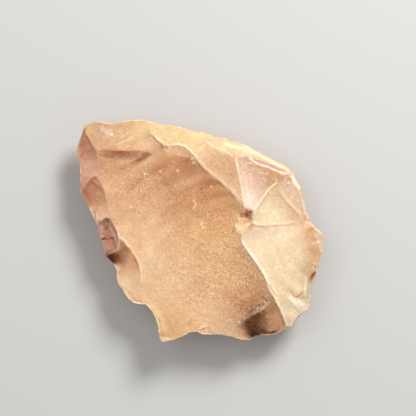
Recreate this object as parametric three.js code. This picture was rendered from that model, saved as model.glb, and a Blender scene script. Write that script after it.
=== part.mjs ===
// A knapped flint hand axe, lying on the flat scar of its underside with its worked face up.
// X runs towards the butt, Y towards the long upper edge, and Z up. Lengths are in millimetres.
//
// The stone is two sheets that meet in one sharp edge all round. Each sheet is drawn the way a
// stone tool is drawn: ridges with a height along them, and between the ridges the hollow scars
// that flakes have left. A scar is a stretched film on its ridges, pulled in by its own depth.
import * as THREE from "three";

// Driving dimensions.
const LENGTH = 88.8; // along X, from the side of the tip to the butt
const WIDTH = 80.1; // along Y, from the foot to the upper edge
const FRONT_HEIGHT = 13; // from the plane of the cutting edge up to the highest ridge
const BACK_DEPTH = 12; // from the same plane down to the flat resting scar

// The drawing. In its plan, LENGTH is LENGTH_UNITS long and WIDTH is WIDTH_UNITS. Heights are in
// parts of FRONT_HEIGHT or BACK_DEPTH, counted outwards from the plane of the cutting edge.
const LENGTH_UNITS = 246;
const WIDTH_UNITS = 221.8;
const FRONT_UNITS = 36;
const BACK_UNITS = 33;

// Grain of the two sheets, in drawing units.
const EDGE_STEP = 3.6;
const FRONT_STEP = 4;
const BACK_STEP = 7.5;

// A scar is this deep for each unit of its width, unless SCARS says otherwise.
const USUAL_HOLLOW = 0.05;

// The cutting edge, clockwise from the corner of the tip: x, y and how far it bends upwards.
// Each hollow between two points that stand out is the mouth of a small flake scar.
const EDGE = {
  upper: [
    [-113.5, 107, 0],
    [-105, 108.5, 0],
    [-99, 109.5, 0],
    [-94, 108, 0],
    [-85, 108, -1],
    [-70, 111, -1],
    [-58, 111, -1],
    [-51, 109.5, 0],
    [-37, 106.5, 0],
    [-30, 106.5, 0],
    [-16, 102.5, 0],
    [9, 97, -1],
    [14, 93.5, 0],
    [20, 93.5, -1],
    [46, 85.5, -1],
    [56, 81, -2],
    [67, 74, -1],
    [71, 73, -2],
    [78, 69.5, -2],
    [91, 61, -1],
  ],
  butt: [
    [93, 58, 0],
    [95, 53, -1],
    [100, 48, -3],
    [101.5, 44, -3],
    [101, 41, -2],
    [107, 20, -1],
    [110, 11, 0],
    [121, -2, 0],
    [122.5, -6, -1],
    [121.5, -12, 0],
    [123, -18, -1],
    [120, -33, 0],
    [117, -40, 1],
    [117.5, -43, 0],
    [111, -54, 0],
    [108.5, -77, 1],
    [98, -85, 3],
    [92.5, -95, 3],
  ],
  foot: [
    [87, -97, 3],
    [78, -102.5, 0],
    [65, -104.5, -1],
    [55, -105.5, 0],
    [50, -109.5, 3],
    [43, -108.5, 5],
    [22, -103.5, 8],
    [3, -103, 9],
    [-3, -100.5, 9],
    [-8, -100.5, 9],
    [-20, -106.5, 10],
    [-30, -109.5, 10],
    [-38, -110.5, 9],
    [-40.5, -106, 9],
  ],
  blade: [
    [-43, -90, 9],
    [-46.5, -83, 8],
    [-52.5, -74.5, 8],
    [-55, -73.5, 7],
    [-66, -72, 5],
    [-74, -64.5, 3],
    [-83.5, -47, 0],
    [-83, -41, 0],
    [-89, -30, -1],
    [-95, -24.5, 0],
    [-96, -20, 0],
    [-104, 7, 0],
    [-112, 25, 0],
    [-119, 38, 0],
    [-120, 45, 0],
    [-120, 63, -1],
    [-123, 83, -1],
    [-122, 87, -1],
    [-116, 102, 0],
  ],
};

// Where three or more ridges of the worked face meet: x, y and height.
const FRONT_JOINTS = {
  tipCorner: [-113.5, 107, 0],
  tipInner: [-114, 99, 4],
  tipShoulder: [-103, 81, 10],
  stepEnd: [-47, 78.5, 12],
  bandStart: [-48, 97, 11],
  bandKnee: [-36, 85.5, 15.5],
  crestStart: [-4, 73.5, 22.5],
  leftArcTop: [-101, 53.5, 9],
  leftFork: [-90, 17, 12],
  nickTop: [-93, 13.5, 10],
  crescentTop: [-80.5, -6, 13],
  nickFoot: [-81.5, -19, 8],
  wedgeTop: [35, 73, 21],
  wedgeEnd: [90, 57, 4.5],
  stripStart: [47, 74.5, 17],
  pitLeft: [44.5, 23, 34.5],
  pitRight: [53, 20, 34.5],
  pitFloorLeft: [40.5, 14, 28.5],
  pitFloorRight: [51.5, 13, 33.5],
  shelfTop: [79.5, 48, 15],
  shelfEnd: [102, 13, 9],
  rimEnd: [107, 10.5, 3],
  buttTop: [54, 6.5, 32.5],
  buttLeft: [42, -3, 32],
  hollowStart: [75, -68, 20],
};

// The ridges of the worked face. A line passes smoothly through joints and points of its own.
const FRONT_RIDGES = {
  tipStrip: ["tipCorner", "tipInner", [-116.5, 92, 3], [-122, 87, -1]],
  tipArete: ["tipInner", [-110, 92, 6], [-107, 87, 8], "tipShoulder"],
  tipStep: ["tipShoulder", [-90, 80.5, 12], [-75, 80, 13], [-60, 79.5, 12.5], "stepEnd"],
  stepFoot: [[-98, 74, 8.5], [-85, 71.5, 8.5], [-72, 71, 8.8], [-60, 73.5, 9.8], [-51, 76.5, 11]],
  tipSide: ["tipShoulder", [-101, 71, 9], [-100.5, 61, 9], "leftArcTop"],
  leftArc: [[-119, 38, 0], [-116, 43, 3], [-113, 48, 5], [-109, 52.5, 7.5], [-105, 55, 8.5], "leftArcTop"],
  leftArete: ["leftArcTop", [-98, 47, 10], [-95, 41, 10.5], [-93, 33, 11], [-91, 24, 11.5], "leftFork"],
  forkArete: ["leftFork", [-87, 10, 12.5], [-83, 1, 13], "crescentTop"],
  crescent: [
    "crescentTop",
    [-76, -11, 13],
    [-70, -18, 13],
    [-64, -26, 13],
    [-60, -34, 12.5],
    [-58.5, -42, 12],
    [-59.5, -51, 10],
  ],
  nickUpper: ["leftFork", "nickTop", [-96, 12.5, 8.5], [-100, 10, 6], [-104, 7, 0]],
  nickSide: ["nickTop", [-89, 9, 10], [-86, 2, 10], [-83, -8, 9.5], "nickFoot"],
  nickStrip: ["crescentTop", [-80.5, -13, 11], "nickFoot"],
  nickLower: ["nickFoot", [-88, -21.5, 5], [-95, -24.5, 0]],
  notchFloor: [[-89, -30, -1], [-83, -27.5, 0.5], [-79, -23, 4], "nickFoot"],
  bandSide: ["bandStart", [-47.5, 88, 11.2], "stepEnd"],
  bandRise: ["bandStart", [-44, 93.5, 11.8], [-40, 89, 13.2], "bandKnee"],
  bandFoot: ["bandKnee", [-31, 85.2, 16.5], [-24, 86, 17.5], [-17, 85.5, 18.5], [-9, 79, 21], "crestStart"],
  lensFoot: ["bandKnee", [-34, 80, 13.5], [-28, 77.5, 13.5], [-20, 75, 14.5], [-12, 74, 17.5], "crestStart"],
  crest: [
    "crestStart",
    [0, 67, 25],
    [5, 61, 27],
    [12, 55, 29],
    [20, 49, 30.5],
    [28, 41, 32],
    [35, 34, 33],
    "pitLeft",
  ],
  bandEdge: [
    [-12, 92, 10.5],
    [-5, 91.5, 11.5],
    [2, 90, 12.5],
    [8, 88, 13.5],
    [20, 81, 17],
    [28, 78, 19],
    "wedgeTop",
  ],
  wedgeSide: ["wedgeTop", [36, 66, 24], [39, 53, 29], [41, 41, 32], [43, 31, 34], "pitLeft"],
  wedgeBrow: ["wedgeTop", [41, 74, 19], "stripStart"],
  stripFoot: [
    "stripStart",
    [52, 71, 16],
    [58, 67, 15],
    [63, 64.5, 14],
    [70, 62.5, 12.5],
    [80, 59, 9.5],
    "wedgeEnd",
  ],
  stripTop: ["stripStart", [56, 72, 13.5], [65, 69, 11.5], [74, 66, 9], [83, 62, 6], "wedgeEnd"],
  wedgeTail: ["wedgeEnd", [93, 58, 0]],
  shelfArete: ["shelfTop", [73, 46.5, 17.5], [68, 42, 20], [63, 34, 26], [57, 26, 31], "pitRight"],
  wedgeLip: ["shelfTop", [84, 51, 12], [88, 54.5, 8], "wedgeEnd"],
  petalSide: [
    "shelfTop",
    [80, 41, 15.5],
    [82, 36, 15.5],
    [86, 30.5, 15],
    [91, 25, 14],
    [97, 19, 12],
    "shelfEnd",
  ],
  shelfTail: ["shelfEnd", "rimEnd", [110, 11, 0]],
  rim: ["wedgeEnd", [93.5, 51, 4.5], [97, 45, 4], [100, 38, 4], [103, 29, 3.5], [105.5, 19, 3], "rimEnd"],
  shelfFoot: ["buttTop", [62, 5, 30], [71, 4, 26.5], [80, 4.5, 22], [88, 5.5, 18], [95, 8, 14], "shelfEnd"],
  pitBrow: ["pitLeft", [48.5, 21.5, 34], "pitRight"],
  pitSide: ["pitRight", "pitFloorRight"],
  shelfNose: ["pitFloorRight", "buttTop"],
  pitFloor: ["pitLeft", [42, 18, 30.5], "pitFloorLeft"],
  pitSill: ["pitFloorLeft", [46, 13, 28], "pitFloorRight"],
  knobSide: ["pitFloorLeft", [38, 10, 30], [35.5, 5, 30], [37, 0, 29.5], "buttLeft"],
  knobFoot: ["buttLeft", [46, 3, 33], [50, 7, 33], "buttTop"],
  buttCrest: ["buttLeft", [41, -10, 31.5], [47, -19, 31], [54, -29, 29.5], [62, -40, 27.5], [66, -49, 25.5]],
  buttFall: [[66, -49, 25.5], [70, -59, 23], "hollowStart"],
  buttTail: ["hollowStart", [79, -77, 16], [82.5, -86, 11], [87, -97, 3]],
  hollowLip: [
    "hollowStart",
    [69, -69, 17.5],
    [66, -73, 16],
    [61, -78, 14.5],
    [52, -82, 13],
    [45, -86, 12],
    [41, -92, 10],
  ],
  hollowFloor: [[70, -81, 9.5], [58, -91, 4.5], [52, -99, 3.5]],
  buttSwell: [[103, 2, 9], [105, -9, 11], [106, -24, 11], [106, -37, 9.5], [105, -47, 8]],
  hinge: [[89, -56, 13], [93, -63.5, 9.5], [97, -66, 7.5], [101, -63.5, 6.5], [104.5, -60, 6]],
};

// The underside, plainer: a flat scar in the middle and the ridges that run out from it.
const BACK_JOINTS = {
  restTip: [-38, 24, BACK_UNITS],
  restTop: [2, 46, BACK_UNITS],
  restUpper: [44, 30, BACK_UNITS],
  restButt: [61, -8, BACK_UNITS],
  restLower: [33, -50, BACK_UNITS],
  restBottom: [-14, -44, BACK_UNITS],
  restLeft: [-36, -12, BACK_UNITS],
  tipMiddle: [-62, 51, 25],
  tipOuter: [-88, 81, 13],
  topOuter: [-3, 83, 13],
  bandMiddle: [-50, 89, 12.5],
  leftMiddle: [-82, 26, 18],
  crescentMiddle: [-65, -31, 19],
  bottomMiddle: [-22, -74, 16],
  footMiddle: [5, -79, 15],
  lowerMiddle: [58, -69, 19],
  buttMiddle: [85, -9, 22],
  sideMiddle: [86, 21, 16],
  upperMiddle: [65, 41, 24],
};

const BACK_RIDGES = {
  restTipSide: ["restTip", [-16, 32, BACK_UNITS], "restTop"],
  restTopSide: ["restTop", [22, 34, BACK_UNITS], "restUpper"],
  restUpperSide: ["restUpper", [56, 13, BACK_UNITS], "restButt"],
  restButtSide: ["restButt", [44, -26, BACK_UNITS], "restLower"],
  restLowerSide: ["restLower", [10, -42, BACK_UNITS], "restBottom"],
  restBottomSide: ["restBottom", [-29, -30, BACK_UNITS], "restLeft"],
  restLeftSide: ["restLeft", [-33, 6, BACK_UNITS], "restTip"],
  tip: ["restTip", "tipMiddle", [-76, 68, 19], "tipOuter", [-113.5, 107, 0]],
  top: ["restTop", [-4, 66, 22], "topOuter", [-16, 102.5, 0]],
  upper: ["restUpper", "upperMiddle", [80, 50, 14], [93, 58, 0]],
  butt: ["restButt", "buttMiddle", [105, -5, 10], [121, -2, 0]],
  lower: ["restLower", "lowerMiddle", [73, -87, 7], [78, -102.5, 0]],
  bottom: ["restBottom", "bottomMiddle", [-32, -94, 3], [-38, -110.5, -9]],
  left: ["restLeft", "crescentMiddle", [-83.5, -47, 0]],
  band: ["tipOuter", [-70, 88, 12], "bandMiddle", [-25, 85, 13], "topOuter"],
  bandCross: ["bandMiddle", [-51, 109.5, 0]],
  side: ["tipMiddle", "leftMiddle", [-79, -4, 17.5], "crescentMiddle"],
  sideCross: ["leftMiddle", [-112, 25, 0]],
  foot: ["bottomMiddle", "footMiddle", [35, -77, 15], "lowerMiddle"],
  footCross: ["footMiddle", [3, -103, -9]],
  shoulder: ["upperMiddle", "sideMiddle", "buttMiddle"],
  shoulderCross: ["sideMiddle", [107, 20, 1]],
  bandChip: [[-85, 108, 1], [-82, 101, 5], [-72, 98, 7], [-62, 101, 6], [-58, 111, 1]],
  topChip: [[20, 93.5, 1], [26, 83, 7], [36, 79, 8.5], [45, 80, 5], [46, 85.5, 1]],
  tipChip: [[-120, 63, 1], [-111, 59, 6.5], [-107, 48, 9], [-110, 39, 7.5], [-119, 38, 0]],
  sideChip: [[101.5, 44, 3], [95, 39, 8], [96, 30, 9.5], [107, 20, 1]],
  buttChip: [[123, -18, 1], [112, -22, 8], [106, -35, 9.5], [106, -47, 6.5], [111, -54, 0]],
  lowerChip: [[43, -108.5, -5], [38, -99, 1.5], [27, -96, 2.5], [13, -97, 0], [3, -103, -9]],
};
const REST_OUTLINE = Object.keys(BACK_RIDGES).filter((name) => name.startsWith("rest"));

// Scars whose depth isn't the usual one, each found by a point inside it.
const FRONT_SCARS = [
  { name: "great scar", at: [-20, 0], depth: 11 },
  { name: "wedge", at: [55, 45], depth: 3.6 },
  { name: "knob", at: [41, 6], depth: -1 },
  { name: "butt", at: [80, -30], depth: 3.5 },
];
const BACK_SCARS = [{ name: "resting scar", at: [5, -5], depth: 0 }];

const FLINT = new THREE.MeshStandardMaterial({ color: 0xd9a97f, roughness: 0.72, metalness: 0 });

// The vertices of a smooth line through the given points, and which of them are its corners.
function smoothLine(points, step, closed = false) {
  const corners = points.map((p) => new THREE.Vector3(...p));
  const curve = new THREE.CatmullRomCurve3(corners, closed, "centripetal");
  const spans = closed ? corners.length : corners.length - 1;
  const line = [];
  for (let i = 0; i < spans; i++) {
    const next = corners[(i + 1) % corners.length];
    const pieces = Math.max(1, Math.round(corners[i].distanceTo(next) / step));
    for (let k = 0; k < pieces; k++) line.push(curve.getPoint((i + k / pieces) / spans));
  }
  if (!closed) line.push(corners.at(-1));
  return line;
}

const isInside = (polygon, x, y) => {
  let inside = false;
  for (let i = 0, j = polygon.length - 1; i < polygon.length; j = i++) {
    const [a, b] = [polygon[i], polygon[j]];
    if (a.y > y !== b.y > y && x < ((b.x - a.x) * (y - a.y)) / (b.y - a.y) + a.x) inside = !inside;
  }
  return inside;
};

const distanceToSegment = (x, y, a, b) => {
  const [dx, dy] = [b.x - a.x, b.y - a.y];
  const along = ((x - a.x) * dx + (y - a.y) * dy) / (dx * dx + dy * dy || 1);
  const t = Math.min(1, Math.max(0, along));
  return Math.hypot(x - a.x - t * dx, y - a.y - t * dy);
};

// Delaunay triangulation of points in the plan, by inserting them one at a time.
function delaunay(points) {
  const far = 1e4;
  const all = [...points, { x: -far, y: -far }, { x: far, y: -far }, { x: 0, y: far }];
  const circled = (a, b, c) => {
    const [bx, by] = [all[b].x - all[a].x, all[b].y - all[a].y];
    const [cx, cy] = [all[c].x - all[a].x, all[c].y - all[a].y];
    const d = 2 * (bx * cy - by * cx);
    const x = (cy * (bx * bx + by * by) - by * (cx * cx + cy * cy)) / d;
    const y = (bx * (cx * cx + cy * cy) - cx * (bx * bx + by * by)) / d;
    return { a, b, c, x: x + all[a].x, y: y + all[a].y, r2: x * x + y * y };
  };
  const n = points.length;
  let triangles = [circled(n, n + 1, n + 2)];
  for (let p = 0; p < n; p++) {
    const open = new Map();
    const kept = [];
    for (const t of triangles) {
      const [dx, dy] = [t.x - all[p].x, t.y - all[p].y];
      if (dx * dx + dy * dy >= t.r2) {
        kept.push(t);
        continue;
      }
      for (const [i, j] of [[t.a, t.b], [t.b, t.c], [t.c, t.a]]) {
        if (!open.delete(`${j},${i}`)) open.set(`${i},${j}`, [i, j]);
      }
    }
    for (const [i, j] of open.values()) kept.push(circled(i, j, p));
    triangles = kept;
  }
  return triangles.filter((t) => t.a < n && t.b < n && t.c < n).map((t) => [t.a, t.b, t.c]);
}

const sideKey = (i, j) => (i < j ? `${i},${j}` : `${j},${i}`);

// One face of the stone as triangles in the plan. Every piece of the edge and of a ridge is a
// side of a triangle: one that isn't is halved until it is. Halved pieces of the edge are listed,
// because the other face needs the same ones. The ridges named in flatOutline close round a scar
// that is left without any points of its own, so it is exactly flat.
function layOut(edge, joints, ridges, step, flatOutline) {
  const points = edge.map((p) => p.clone());
  const sameSpot = 0.6;
  const indexOf = (p) => {
    const found = points.findIndex((q) => Math.hypot(p.x - q.x, p.y - q.y) < sameSpot);
    return found >= 0 ? found : points.push(p) - 1;
  };
  let walls = edge.map((_, i) => [i, (i + 1) % edge.length, "edge"]);
  for (const [name, line] of Object.entries(ridges)) {
    const places = line.map((p) => (typeof p === "string" ? joints[p] : p));
    const numbers = smoothLine(places, step).map(indexOf);
    numbers.slice(1).forEach((j, k) => numbers[k] !== j && walls.push([numbers[k], j, name]));
  }
  const flatPolygon = walls.filter(([, , name]) => flatOutline.includes(name)).map(([i]) => points[i]);

  const clear = 0.62 * step;
  const box = new THREE.Box3().setFromPoints(edge);
  const rowHeight = (step * Math.sqrt(3)) / 2;
  const lattice = [];
  for (let row = 0, y = box.min.y; y < box.max.y; row++, y += rowHeight) {
    for (let x = box.min.x + ((row % 2) * step) / 2; x < box.max.x; x += step) {
      const nearWall = walls.some(([i, j]) => distanceToSegment(x, y, points[i], points[j]) < clear);
      if (nearWall || !isInside(edge, x, y) || isInside(flatPolygon, x, y)) continue;
      lattice.push(new THREE.Vector3(x, y, 0));
    }
  }
  points.push(...lattice);

  const halved = [];
  for (;;) {
    const triangles = delaunay(points);
    const sides = new Set(triangles.flatMap(([a, b, c]) => [sideKey(a, b), sideKey(b, c), sideKey(c, a)]));
    const missing = walls.filter(([i, j]) => !sides.has(sideKey(i, j)));
    if (!missing.length) return { points, walls, triangles, halved };
    walls = walls.filter(([i, j]) => sides.has(sideKey(i, j)));
    for (const [i, j, name] of missing) {
      if (name === "edge") halved.push(i);
      const middle = points.push(points[i].clone().lerp(points[j], 0.5)) - 1;
      walls.push([i, middle, name], [middle, j, name]);
    }
  }
}

// Numbers the scars: triangles that meet across a side which is no ridge share one.
function findScars(triangles, walls) {
  const wallSides = new Set(walls.map(([i, j]) => sideKey(i, j)));
  const bySide = new Map();
  triangles.forEach(([a, b, c], t) => {
    for (const key of [sideKey(a, b), sideKey(b, c), sideKey(c, a)]) {
      if (!wallSides.has(key)) bySide.set(key, [...(bySide.get(key) ?? []), t]);
    }
  });
  const neighbours = triangles.map(() => []);
  for (const [t, u] of bySide.values()) {
    if (u === undefined) continue;
    neighbours[t].push(u);
    neighbours[u].push(t);
  }
  const scarOf = triangles.map(() => -1);
  let count = 0;
  triangles.forEach((_, start) => {
    if (scarOf[start] >= 0) return;
    const queue = [start];
    scarOf[start] = count;
    while (queue.length) {
      for (const u of neighbours[queue.pop()]) {
        if (scarOf[u] < 0) {
          scarOf[u] = count;
          queue.push(u);
        }
      }
    }
    count++;
  });
  return { scarOf, count };
}

const areaOf = (points, [a, b, c]) =>
  ((points[b].x - points[a].x) * (points[c].y - points[a].y) -
    (points[c].x - points[a].x) * (points[b].y - points[a].y)) /
  2;

// Gives every free point the height of a film stretched over the ridges and pulled inwards.
function stretchScars({ points, walls, triangles }, scars) {
  const { scarOf, count } = findScars(triangles, walls);
  const areas = new Array(count).fill(0);
  triangles.forEach((t, k) => (areas[scarOf[k]] += areaOf(points, t)));
  const depths = areas.map((area) => USUAL_HOLLOW * 2 * Math.sqrt(area / Math.PI));
  for (const { at, depth } of scars) {
    const here = triangles.findIndex((t) => isInside(t.map((i) => points[i]), ...at));
    if (here >= 0) depths[scarOf[here]] = depth;
  }
  const pulls = areas.map((area, k) => (4 * depths[k] * Math.PI) / area);

  const fixed = new Set(walls.flatMap(([i, j]) => [i, j]));
  const links = points.map(() => new Map());
  const loads = points.map(() => 0);
  triangles.forEach((t, k) => {
    const share = (areaOf(points, t) / 3) * pulls[scarOf[k]];
    for (const [a, b, c] of [t, [t[1], t[2], t[0]], [t[2], t[0], t[1]]]) {
      loads[a] += share;
      const [ux, uy] = [points[b].x - points[a].x, points[b].y - points[a].y];
      const [vx, vy] = [points[c].x - points[a].x, points[c].y - points[a].y];
      const half = (ux * vx + uy * vy) / Math.max(1e-6, ux * vy - uy * vx) / 2;
      links[b].set(c, (links[b].get(c) ?? 0) + half);
      links[c].set(b, (links[c].get(b) ?? 0) + half);
    }
  });
  const free = points.map((_, i) => i).filter((i) => !fixed.has(i));
  const slackest = 0.05;
  const tied = free.map((i) => [...links[i]].map(([j, w]) => [j, Math.max(slackest, w)]));
  const sweeps = 1500;
  const overshoot = 1.8;
  for (let s = 0; s < sweeps; s++) {
    free.forEach((i, k) => {
      let [sum, weight] = [-loads[i], 0];
      for (const [j, w] of tied[k]) {
        sum += w * points[j].z;
        weight += w;
      }
      points[i].z += overshoot * (sum / weight - points[i].z);
    });
  }
}

// The two faces, with the edge's pieces halved wherever either face needs it.
function knap() {
  let edge = smoothLine(Object.values(EDGE).flat(), EDGE_STEP, true);
  for (;;) {
    const below = edge.map((p) => new THREE.Vector3(p.x, p.y, -p.z));
    const front = layOut(edge, FRONT_JOINTS, FRONT_RIDGES, FRONT_STEP, []);
    const back = layOut(below, BACK_JOINTS, BACK_RIDGES, BACK_STEP, REST_OUTLINE);
    const halved = new Set([...front.halved, ...back.halved]);
    if (!halved.size) return { edge, front, back };
    edge = edge.flatMap((p, i) =>
      halved.has(i) ? [p, p.clone().lerp(edge[(i + 1) % edge.length], 0.5)] : [p],
    );
  }
}

function handAxeGeometry() {
  const { edge, front, back } = knap();
  stretchScars(front, FRONT_SCARS);
  stretchScars(back, BACK_SCARS);
  const inOutline = ({ points }) => ([a, b, c]) =>
    isInside(
      edge,
      (points[a].x + points[b].x + points[c].x) / 3,
      (points[a].y + points[b].y + points[c].y) / 3,
    );
  const along = LENGTH / LENGTH_UNITS;
  const across = WIDTH / WIDTH_UNITS;
  const up = FRONT_HEIGHT / FRONT_UNITS;
  const down = BACK_DEPTH / BACK_UNITS;
  const places = [
    ...front.points.map((p) => [p.x * along, p.y * across, p.z * up]),
    ...back.points.slice(edge.length).map((p) => [p.x * along, p.y * across, -p.z * down]),
  ];
  const shift = front.points.length - edge.length;
  const under = (i) => (i < edge.length ? i : i + shift);
  const faces = [
    ...front.triangles.filter(inOutline(front)),
    ...back.triangles.filter(inOutline(back)).map(([a, b, c]) => [under(a), under(c), under(b)]),
  ];
  const geometry = new THREE.BufferGeometry();
  geometry.setAttribute("position", new THREE.Float32BufferAttribute(places.flat(), 3));
  geometry.setIndex(faces.flat());
  geometry.computeBoundingBox();
  const { min, max } = geometry.boundingBox;
  geometry.translate(-(min.x + max.x) / 2, -(min.y + max.y) / 2, -min.z);
  geometry.computeVertexNormals();
  return geometry;
}

const handAxe = new THREE.Mesh(handAxeGeometry(), FLINT);
handAxe.name = "hand_axe";

const part = new THREE.Group();
part.add(handAxe);

export default part;
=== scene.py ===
"""The looks of a knapped flint hand axe, lying on the flat scar of its underside."""

import math

import bmesh
import bpy
import numpy as np
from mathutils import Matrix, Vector, kdtree


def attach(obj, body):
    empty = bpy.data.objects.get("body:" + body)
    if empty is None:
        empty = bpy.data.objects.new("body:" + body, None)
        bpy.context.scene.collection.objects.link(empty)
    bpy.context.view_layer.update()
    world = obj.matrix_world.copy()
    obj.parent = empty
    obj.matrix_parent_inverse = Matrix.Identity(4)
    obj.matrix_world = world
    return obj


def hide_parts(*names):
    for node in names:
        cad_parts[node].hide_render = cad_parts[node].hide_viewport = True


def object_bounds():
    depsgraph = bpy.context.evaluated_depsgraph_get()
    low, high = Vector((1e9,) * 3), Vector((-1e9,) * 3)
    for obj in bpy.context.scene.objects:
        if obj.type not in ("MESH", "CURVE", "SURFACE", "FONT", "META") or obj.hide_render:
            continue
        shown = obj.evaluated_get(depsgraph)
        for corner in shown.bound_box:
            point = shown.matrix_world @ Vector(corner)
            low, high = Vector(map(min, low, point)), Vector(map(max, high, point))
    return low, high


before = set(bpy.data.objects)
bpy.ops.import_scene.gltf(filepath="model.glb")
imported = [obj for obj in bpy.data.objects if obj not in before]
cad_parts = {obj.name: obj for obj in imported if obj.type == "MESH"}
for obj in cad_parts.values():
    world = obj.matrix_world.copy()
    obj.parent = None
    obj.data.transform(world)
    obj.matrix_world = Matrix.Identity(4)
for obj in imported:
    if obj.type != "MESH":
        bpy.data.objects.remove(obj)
cad_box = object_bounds()

# The drawing that places are named in: the CAD part's own plan, 246 units of UNIT metres long.
UNIT = (cad_box[1][0] - cad_box[0][0]) / 246
PLAN_CENTRE = (0, 0.35)  # the place in the drawing that is the part's origin
EDGE_LEVEL = 0.012  # height of the cutting edge's plane, in metres

SPLIT = 5  # each CAD triangle becomes SPLIT * SPLIT
RIDGE_ANGLE = math.radians(8)  # a side sharper than this may be part of a ridge
SOFT_RIDGE = ((97, -22), (114, -20))  # places in the two scars that meet in a soft ridge
SPUR = 3  # a ridge that branches off and ends within so many sides is no ridge
LEAST_SCAR = 3e-6  # a scar smaller than this, in square metres, belongs to its neighbour
EVEN_ROUNDS = 36  # rounds of relaxing that even out the CAD's flat facets
LAST_PULL = 0.35  # how much the one round over the finished relief softens it


def to_plan(points):
    """Plan coordinates in drawing units of points in metres."""
    return points[:, :2] / UNIT + np.array(PLAN_CENTRE)


def linear(rgb):
    """Linear colour of an sRGB colour given in 0 to 255."""
    c = np.asarray(rgb, float) / 255
    return np.where(c <= 0.04045, c / 12.92, ((c + 0.055) / 1.055) ** 2.4)


def smoothstep(low, high, x):
    """From 0 at low to 1 at high, with soft ends."""
    t = np.clip((x - low) / (high - low), 0, 1)
    return t * t * (3 - 2 * t)


def noise(points, size, seed):
    """Smooth random values from -1 to 1 that change over about size."""
    cells = 32
    rng = np.random.default_rng(seed)
    table = rng.uniform(-1, 1, (cells, cells, cells))
    q = points / size + rng.uniform(0, cells, 3)
    low = np.floor(q).astype(int)
    t = q - low
    t = t * t * (3 - 2 * t)
    total = np.zeros(len(points))
    for corner in np.ndindex(2, 2, 2):
        i, j, k = ((low + corner) % cells).T
        total += np.prod(np.where(corner, t, 1 - t), axis=1) * table[i, j, k]
    return total


def solid_of(node):
    """Vertices and triangles of a CAD node, with the vertices of each corner joined."""
    bm = bmesh.new()
    bm.from_mesh(node.data)
    bmesh.ops.remove_doubles(bm, verts=bm.verts, dist=1e-6)
    bmesh.ops.triangulate(bm, faces=bm.faces)
    bm.verts.index_update()
    verts = np.array([v.co[:] for v in bm.verts])
    faces = np.array([[v.index for v in f.verts] for f in bm.faces])
    bm.free()
    return verts, faces


def spans_of(points, faces):
    """A vector for each triangle, square to it and as long as twice its area."""
    a, b, c = (points[faces[:, k]] for k in range(3))
    return np.cross(b - a, c - a)


def unit(vectors):
    return vectors / np.maximum(np.linalg.norm(vectors, axis=1, keepdims=True), 1e-20)


def normals_of(points, faces):
    """The unit normal at each point, to which larger triangles add more."""
    spans = spans_of(points, faces)
    sums = [
        sum(np.bincount(faces[:, k], spans[:, x], len(points)) for k in range(3)) for x in range(3)
    ]
    return unit(np.stack(sums, 1))


def sides_of(faces):
    """The sides of the triangles, which of them each triangle has, and each one's two triangles."""
    ends = np.sort(faces[:, [[0, 1], [1, 2], [2, 0]]].reshape(-1, 2), axis=1)
    sides, side_of = np.unique(ends, axis=0, return_inverse=True)
    side_of = side_of.reshape(-1)
    order = np.argsort(side_of, kind="stable")
    both = (order // 3).reshape(-1, 2)
    return sides, side_of.reshape(-1, 3), both


def without_spurs(sides, ridge, always, count):
    """The ridge sides less the short spurs. Longer ridges keep their open ends."""
    kept, taken = ridge.copy(), []
    for _ in range(SPUR):
        met = np.bincount(sides[kept].ravel(), minlength=count)
        loose = kept & ~always & (met[sides] == 1).any(axis=1)
        kept &= ~loose
        taken.append(loose)
    for loose in reversed(taken):
        met = np.bincount(sides[kept].ravel(), minlength=count)
        kept |= loose & (met[sides] == 1).any(axis=1)
    return kept


def find_ridges(verts, faces, sides, side_of, both, turn, always):
    """Which sides are ridges, each triangle's scar and how many scars there are.

    Scars that are too small join a neighbour over their gentlest ridge until none is left.
    """
    area = np.linalg.norm(spans_of(verts, faces), axis=1) / 2
    ridge = (turn > RIDGE_ANGLE) | always
    while True:
        ridge = without_spurs(sides, ridge, always, len(verts))
        scar, count = find_scars(faces, side_of, both, ridge)
        size = np.bincount(scar, area, count)
        pair = scar[both]
        parting = np.flatnonzero(ridge & ~always & (pair[:, 0] != pair[:, 1]))
        slight = {}
        for s in parting:
            for mine, other in (pair[s], pair[s][::-1]):
                if size[mine] < LEAST_SCAR:
                    slight.setdefault(mine, {}).setdefault(other, []).append(turn[s])
        joined = {frozenset((m, min(o, key=lambda k: np.mean(o[k])))) for m, o in slight.items()}
        if not joined:
            return ridge, scar, count
        for s in parting:
            if frozenset(pair[s]) in joined:
                ridge[s] = False


def find_scars(faces, side_of, both, ridge):
    """Number of the scar that each triangle is in, and of scars. Ridges part them."""
    scar = np.full(len(faces), -1)
    count = 0
    for start in range(len(faces)):
        if scar[start] >= 0:
            continue
        queue = [start]
        scar[start] = count
        while queue:
            for s in side_of[queue.pop()]:
                if ridge[s]:
                    continue
                for t in both[s]:
                    if scar[t] < 0:
                        scar[t] = count
                        queue.append(t)
        count += 1
    return scar, count


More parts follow.
